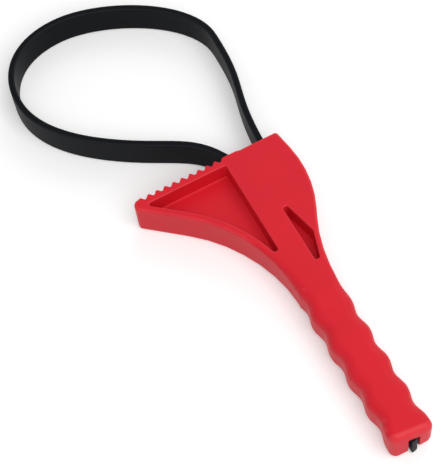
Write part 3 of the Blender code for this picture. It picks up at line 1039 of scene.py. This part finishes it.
def make_belt(nodes):
    """Belt pieces for some of the belt's nodes, by node name, and the middle lines of all."""
    look = bpy.context.scene.wrench_belt
    lines, tail_across = belt_lines()
    names = list(lines)
    pieces = {}
    run = 0.0
    for index, node in enumerate(names):
        before = lines[names[index - 1]][-2] if index else None
        after = lines[names[index + 1]][1] if index < len(names) - 1 else None
        line = smooth_line(before, lines[node], after, look.step)
        if node in nodes:
            last = index == len(names) - 1
            near_before = before and line[0] + (before - line[0]).normalized() * look.step
            near_after = after and line[-1] + (after - line[-1]).normalized() * look.step
            name = node.replace("strap", "belt")
            cut = tail_across if last else None
            pieces[node] = belt_piece(name, line, near_before, near_after, run, cut)
            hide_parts(node)
        run += sum((b - a).length for a, b in zip(line, line[1:]))
    return pieces, lines


class WRENCH_OT_belt_loop(bpy.types.Operator):
    """Loop of the belt: two strands, and the crown that is drawn towards the head"""

    bl_idname = "wrench.belt_loop"
    bl_label = "Belt loop"

    def execute(self, context):
        pieces, lines = make_belt(("strap_right_strand", "strap_crown", "strap_left_strand"))
        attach(pieces["strap_crown"], "strap_crown")
        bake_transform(pieces["strap_right_strand"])
        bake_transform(pieces["strap_left_strand"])
        return {"FINISHED"}


class WRENCH_OT_belt_run(bpy.types.Operator):
    """Run of the belt in the handle: the bend behind the mouth and the length that slides out"""

    bl_idname = "wrench.belt_run"
    bl_label = "Belt run"

    def execute(self, context):
        pieces, lines = make_belt(("strap_entry_bend", "strap_leader"))
        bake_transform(pieces["strap_entry_bend"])
        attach(pieces["strap_leader"], "strap_leader")
        return {"FINISHED"}


class WRENCH_OT_anchor(bpy.types.Operator):
    """Fixed end of the belt in its keyhole, with the steel pin in its eye"""

    bl_idname = "wrench.anchor"
    bl_label = "Anchor"

    def execute(self, context):
        look = context.scene.wrench_belt
        shape = welded_copy("strap_fixed_end")
        top = max(vert.co.y for vert in shape.verts)
        edges = [
            edge
            for edge in shape.edges
            if turn(edge) > SHARP_ANGLE
            and on_level(edge, edge.verts[0].co.z)
            and min(vert.co.y for vert in edge.verts) < top - 2 * look.edge_round
        ]
        round_edges(shape, edges, look.edge_round, segments=BELT_EDGE_STEPS)
        places = [(vert.co.y - top, vert.co.x, vert.co.z) for vert in shape.verts]
        eye = piece_from(shape, "belt_fixed_end", [belt_rubber()], rim_highlight_shares(shape), places)
        weigh_normals(eye)
        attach(eye, "handle")
        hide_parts("strap_fixed_end")

        shape = welded_copy("strap_anchor_pin")
        edges = [edge for edge in shape.edges if turn(edge) > SHARP_ANGLE]
        round_edges(shape, edges, context.scene.wrench_pin.rim_round)
        pin = piece_from(shape, "anchor_pin", [pin_steel()], rim_highlight_shares(shape))
        weigh_normals(pin)
        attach(pin, "handle")
        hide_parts("strap_anchor_pin")
        return {"FINISHED"}


# Studio


def seen_rays(tree):
    """1 for rays that the camera sees by, directly, in a reflection or through glass, else 0."""
    rays = tree.nodes.new("ShaderNodeLightPath")
    seen = maths(tree, "MAXIMUM", rays.outputs["Is Camera Ray"], rays.outputs["Is Glossy Ray"])
    return maths(tree, "MAXIMUM", seen, rays.outputs["Is Transmission Ray"])


def floor_material(look):
    """Pale floor that takes the tool's shadow and looks white to the camera."""
    material = bpy.data.materials.new("studio_floor")
    material.use_nodes = True
    tree = material.node_tree
    shader = tree.nodes["Principled BSDF"]
    shader.inputs["Base Color"].default_value = (*look.floor_colour, 1.0)
    shader.inputs["Roughness"].default_value = 1.0
    shader.inputs["Specular IOR Level"].default_value = 0.0
    shader.inputs["Emission Color"].default_value = WHITE
    lift = maths(tree, "MULTIPLY", seen_rays(tree), look.floor_lift)
    tree.links.new(lift, shader.inputs["Emission Strength"])
    return material


def studio_world(look):
    """World that lights evenly, and is white where it is seen."""
    world = bpy.data.worlds.new("studio_world")
    world.use_nodes = True
    tree = world.node_tree
    background = tree.nodes["Background"]
    background.inputs["Color"].default_value = WHITE
    strength = spread(tree, seen_rays(tree), look.world_fill, 1.0)
    tree.links.new(strength, background.inputs["Strength"])
    return world


def soft_lamp(name, place, width, power):
    """Square lamp that is turned to the origin."""
    lamp = bpy.data.lights.new(name, "AREA")
    lamp.shape = "SQUARE"
    lamp.size = width
    lamp.energy = power
    item = bpy.data.objects.new(name, lamp)
    item.location = place
    item.rotation_euler = (-Vector(place)).to_track_quat("-Z", "Y").to_euler()
    bpy.context.scene.collection.objects.link(item)


class WRENCH_OT_stage(bpy.types.Operator):
    """Floor, lamps, world and camera"""

    bl_idname = "wrench.stage"
    bl_label = "Stage"

    def execute(self, context):
        look = context.scene.wrench_studio
        shape = bmesh.new()
        bmesh.ops.create_grid(shape, x_segments=1, y_segments=1, size=FLOOR_REACH)
        mesh = bpy.data.meshes.new("studio_floor")
        shape.to_mesh(mesh)
        shape.free()
        mesh.materials.append(floor_material(look))
        floor = bpy.data.objects.new("studio_floor", mesh)
        floor.location.z = CAD_LOW.z - FLOOR_GAP
        context.scene.collection.objects.link(floor)

        context.scene.world = studio_world(look)
        soft_lamp("key_lamp", look.key_place, look.key_width, look.key_power)
        soft_lamp("back_lamp", look.back_place, look.back_width, look.back_power)

        camera = bpy.data.cameras.new("photo_camera")
        camera.lens = look.lens
        camera.clip_end = CAMERA_REACH
        view = bpy.data.objects.new("photo_camera", camera)
        view.location = look.camera_place
        view.rotation_euler = look.camera_turn
        context.scene.collection.objects.link(view)
        context.scene.camera = view
        context.scene.view_settings.view_transform = "Standard"
        return {"FINISHED"}


class WRENCH_PT_panel(bpy.types.Panel):
    """Lists the wrench's pieces and their settings"""

    bl_idname = "WRENCH_PT_panel"
    bl_label = "Oil filter wrench"
    bl_space_type = "VIEW_3D"
    bl_region_type = "UI"
    bl_category = "Wrench"

    def draw(self, context):
        layout = self.layout
        for operator in OPERATORS:
            layout.operator(operator.bl_idname)
        for settings, group in SETTINGS.items():
            box = layout.box()
            box.label(text=group.__doc__)
            for name in group.__annotations__:
                box.prop(getattr(context.scene, settings), name)


SETTINGS = {
    "wrench_handle": HandleLook,
    "wrench_belt": BeltLook,
    "wrench_pin": PinLook,
    "wrench_studio": StudioLook,
}
OPERATORS = (
    WRENCH_OT_handle,
    WRENCH_OT_belt_loop,
    WRENCH_OT_belt_run,
    WRENCH_OT_anchor,
    WRENCH_OT_stage,
)
CLASSES = (*SETTINGS.values(), *OPERATORS, WRENCH_PT_panel)


def register():
    for item in CLASSES:
        bpy.utils.register_class(item)
    for settings, group in SETTINGS.items():
        setattr(bpy.types.Scene, settings, bpy.props.PointerProperty(type=group))


def unregister():
    for settings in SETTINGS:
        delattr(bpy.types.Scene, settings)
    for item in reversed(CLASSES):
        bpy.utils.unregister_class(item)


def main():
    register()
    bpy.ops.wrench.handle()
    bpy.ops.wrench.belt_loop()
    bpy.ops.wrench.belt_run()
    bpy.ops.wrench.anchor()
    bpy.ops.wrench.stage()


if __name__ == "__main__":
    main()
